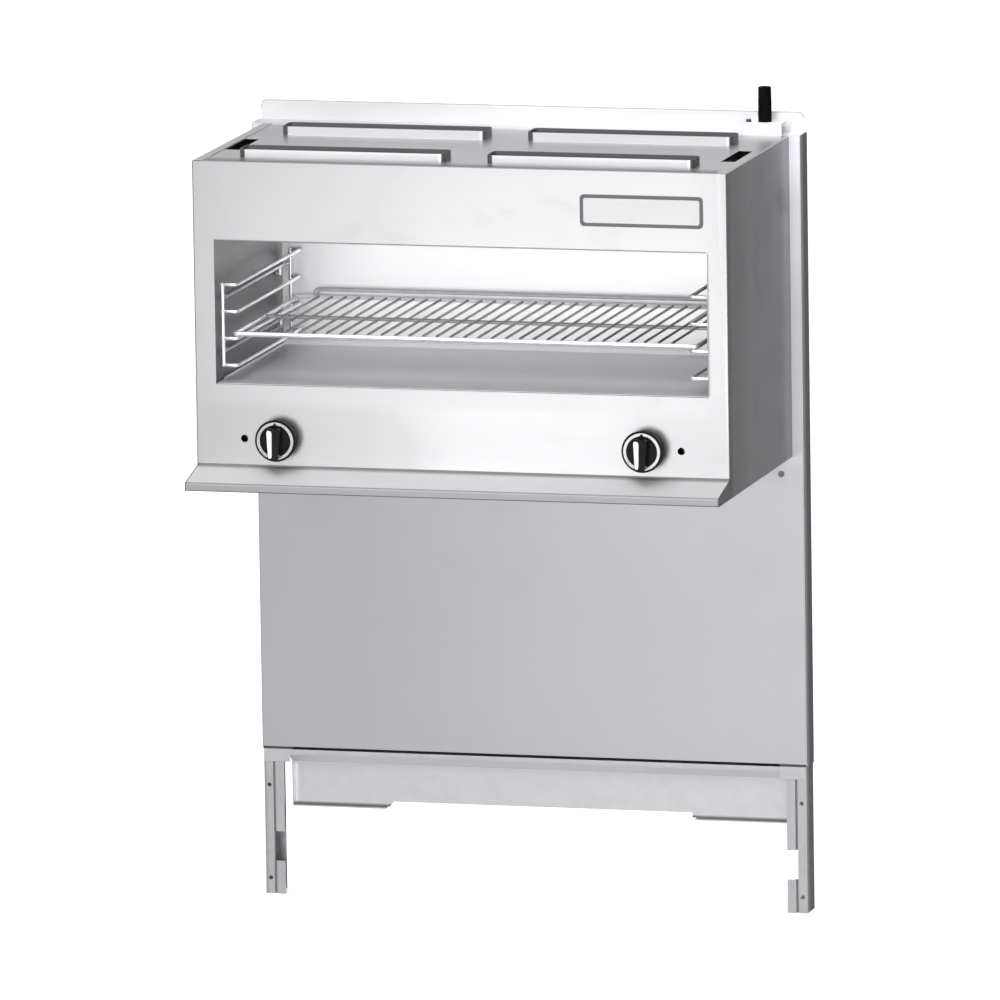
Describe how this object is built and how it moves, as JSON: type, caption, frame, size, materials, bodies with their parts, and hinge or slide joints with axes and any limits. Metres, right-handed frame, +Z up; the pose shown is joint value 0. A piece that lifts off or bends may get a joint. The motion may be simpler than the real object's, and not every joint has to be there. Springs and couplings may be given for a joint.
{
  "type": "cheese melter",
  "caption": "Range-mounted gas infrared cheese melter: open-front stainless body with slide-out wire rack, valve knobs and sloped heat deflector, carried on a tall rear riser with legs.",
  "frame": {"origin": "centre of the rectangle of four bolt holes in the riser's legs, on the legs' front face, where they bolt to the back of a range", "axes": "+X to the right as seen from the front, +Y to the wall behind, +Z up; the cook stands at -Y"},
  "size_m": [0.9, 0.5262, 1.3255],
  "materials": {
    "stainless_panel": "satin brushed, 18 gauge",
    "stainless_liner": "satin brushed",
    "plate_metal": "satin face with a darker raised border",
    "galvanised_sheet": "galvanised steel, dull spangle",
    "zinc_fasteners": "zinc plated",
    "black_iron": "black iron pipe, lacquered",
    "cast_aluminium": "die cast",
    "aluminium_tube": "drawn tube",
    "brass_fittings": "machined",
    "burner_ceramic": "unglazed, finely perforated",
    "screen_wire": "heat-tinted alloy wire",
    "mineral_wool": "bonded mineral fibre",
    "chrome_wire": "bright plated",
    "knob_plastic": "gloss black phenolic",
    "knob_chrome": "polished"
  },
  "bodies": {
    "frame": {"riser_front_panel": "stainless_panel", "riser_left_post": "galvanised_sheet", "riser_right_post": "galvanised_sheet", "riser_rear_panel": "stainless_panel", "riser_cross_member": "galvanised_sheet", "riser_lower_brace": "galvanised_sheet", "riser_flanges": "galvanised_sheet", "riser_screws": "zinc_fasteners", "pipe_bracket": "stainless_panel", "gas_supply_pipe": "black_iron", "gas_elbow": "black_iron", "gas_nipple": "black_iron", "pressure_regulator": "cast_aluminium", "gas_manifold": "black_iron", "left_gas_valve": "brass_fittings", "right_gas_valve": "brass_fittings", "pilot_valves": "brass_fittings", "left_gas_tube": "aluminium_tube", "right_gas_tube": "aluminium_tube", "pilot_tubes": "aluminium_tube", "orifice_hoods": "brass_fittings", "left_mixer_tube": "galvanised_sheet", "right_mixer_tube": "galvanised_sheet", "left_burner_plenum": "galvanised_sheet", "right_burner_plenum": "galvanised_sheet", "left_burner_tiles": "burner_ceramic", "right_burner_tiles": "burner_ceramic", "left_burner_screen": "screen_wire", "right_burner_screen": "screen_wire", "pilot_burners": "brass_fittings", "body_left_side": "stainless_panel", "body_right_side": "stainless_panel", "body_front_panel": "stainless_panel", "body_top_panel": "stainless_panel", "body_rear_panel": "galvanised_sheet", "body_bottom_panel": "stainless_panel", "heat_deflector": "stainless_panel", "name_plate": "plate_metal", "left_liner": "stainless_liner", "right_liner": "stainless_liner", "rear_liner": "stainless_liner", "floor_liner": "galvanised_sheet", "burner_ceiling": "stainless_liner", "flue_ducts": "galvanised_sheet", "left_rack_guide": "chrome_wire", "right_rack_guide": "chrome_wire", "left_insulation": "mineral_wool", "right_insulation": "mineral_wool", "rear_insulation": "mineral_wool", "floor_insulation": "mineral_wool", "body_mount_bolts": "zinc_fasteners"},
    "left_knob_body": {"left_knob": "knob_plastic", "left_knob_ring": "knob_chrome", "left_valve_stem": "brass_fittings"},
    "right_knob_body": {"right_knob": "knob_plastic", "right_knob_ring": "knob_chrome", "right_valve_stem": "brass_fittings"},
    "rack_body": {"rack": "chrome_wire", "rack_stop_bar": "chrome_wire"},
    "crumb_tray_body": {"crumb_tray": "stainless_liner"}
  },
  "joints": [
    {"name": "left_knob_turn", "type": "hinge", "parent": "frame", "child": "left_knob_body", "pos_m": [-0.297, -0.4065, 0.711], "axis": [0, -1, 0], "range_deg": [0, 200]},
    {"name": "right_knob_turn", "type": "hinge", "parent": "frame", "child": "right_knob_body", "pos_m": [0.297, -0.4065, 0.711], "axis": [0, -1, 0], "range_deg": [0, 200]},
    {"name": "rack_slide", "type": "slide", "parent": "frame", "child": "rack_body", "axis": [0, -1, 0], "range_m": [0, 0.3]},
    {"name": "crumb_tray_slide", "type": "slide", "parent": "frame", "child": "crumb_tray_body", "axis": [0, -1, 0], "range_m": [0, 0.35]}
  ]
}
